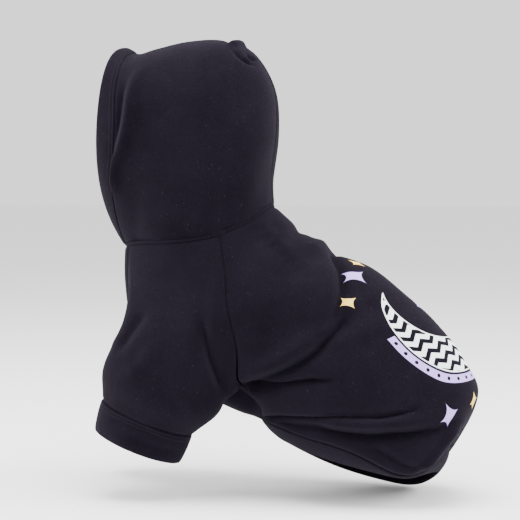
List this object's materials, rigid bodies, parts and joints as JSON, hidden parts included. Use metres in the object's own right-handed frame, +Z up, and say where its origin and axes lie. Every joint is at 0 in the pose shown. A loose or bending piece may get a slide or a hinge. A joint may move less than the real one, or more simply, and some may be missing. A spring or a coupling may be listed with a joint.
{
  "type": "dog hoodie",
  "caption": "Pullover hoodie for a dog: hood with a turned hem at the face, raglan sleeves with turned-up cuffs, back and chest panels and a waist band.",
  "frame": {"origin": "the nape: the neck seam above the spine, where the garment hangs on the dog's withers", "axes": "+Z up, -X the way the dog faces, -Y the dog's left side"},
  "size_m": [0.347, 0.1765, 0.398],
  "materials": {
    "back_panel": "brushed cotton fleece",
    "chest_panel": "brushed cotton fleece",
    "sleeve_left": "brushed cotton fleece",
    "sleeve_right": "brushed cotton fleece",
    "cuff_left": "dense knit",
    "cuff_right": "dense knit",
    "hood_left_panel": "brushed cotton fleece",
    "hood_right_panel": "brushed cotton fleece",
    "hood_hem": "brushed cotton fleece",
    "neck_seam": "dense knit",
    "waist_band": "dense knit"
  },
  "bodies": {
    "root": {"back_panel": "back_panel", "chest_panel": "chest_panel", "sleeve_left": "sleeve_left", "sleeve_right": "sleeve_right", "cuff_left": "cuff_left", "cuff_right": "cuff_right", "hood_left_panel": "hood_left_panel", "hood_right_panel": "hood_right_panel", "hood_hem": "hood_hem", "neck_seam": "neck_seam", "waist_band": "waist_band"}
  },
  "joints": []
}
